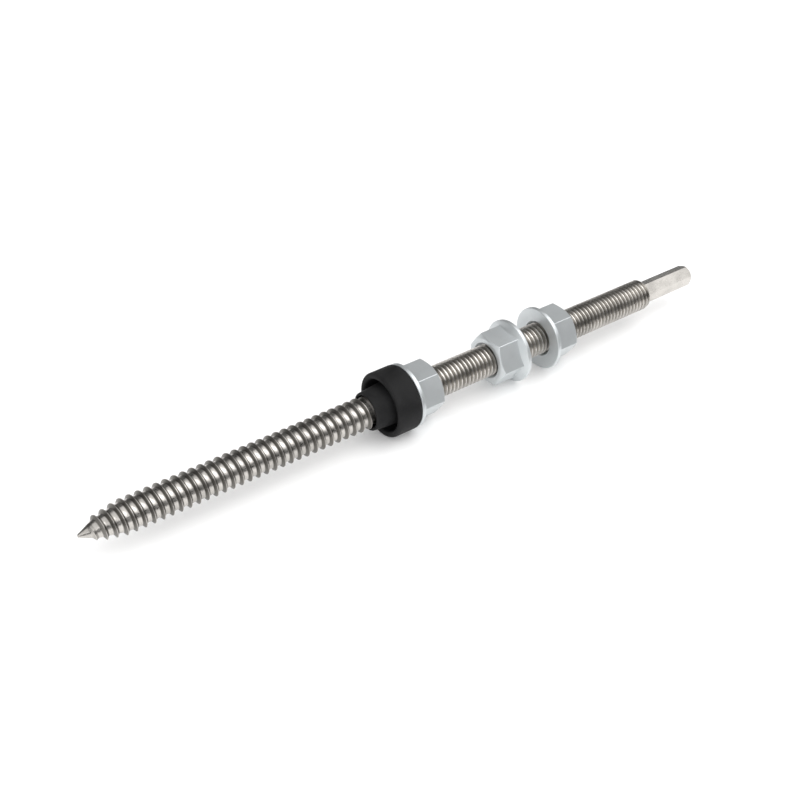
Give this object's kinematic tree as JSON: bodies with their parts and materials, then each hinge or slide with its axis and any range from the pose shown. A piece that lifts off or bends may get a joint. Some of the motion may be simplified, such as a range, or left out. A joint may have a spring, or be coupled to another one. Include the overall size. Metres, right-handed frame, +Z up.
{
  "type": "hanger bolt",
  "caption": "Hanger bolt: wood screw point, machine thread and hexagon drive on one stud, with a rubber roof seal and flange nuts that clamp an adapter plate.",
  "frame": {"origin": "on the surface the bolt lies on, under the middle of its length", "axes": "+X along the bolt from the point to the drive hexagon, +Z up from the surface it lies on"},
  "size_m": [0.267, 0.0242, 0.0241],
  "materials": {
    "stainless_stud": "rolled bright stainless steel",
    "stainless_nut": "satin stainless steel",
    "black_rubber": "matte moulded rubber"
  },
  "bodies": {
    "stud": {"stud": "stainless_stud"},
    "seal": {"rubber_seal": "black_rubber"},
    "first_nut": {"seal_nut": "stainless_nut"},
    "second_nut": {"lower_clamp_nut": "stainless_nut"},
    "third_nut": {"upper_clamp_nut": "stainless_nut"}
  },
  "joints": [
    {"name": "seal_travel", "type": "slide", "parent": "stud", "child": "seal", "axis": [1, 0, 0], "range_m": [-0.025, 0]},
    {"name": "first_nut_travel", "type": "slide", "parent": "stud", "child": "first_nut", "axis": [1, 0, 0], "range_m": [0, 0.0128]},
    {"name": "second_nut_travel", "type": "slide", "parent": "stud", "child": "second_nut", "axis": [1, 0, 0], "range_m": [-0.0128, 0.0063]},
    {"name": "third_nut_travel", "type": "slide", "parent": "stud", "child": "third_nut", "axis": [1, 0, 0], "range_m": [-0.0063, 0.0395]}
  ]
}
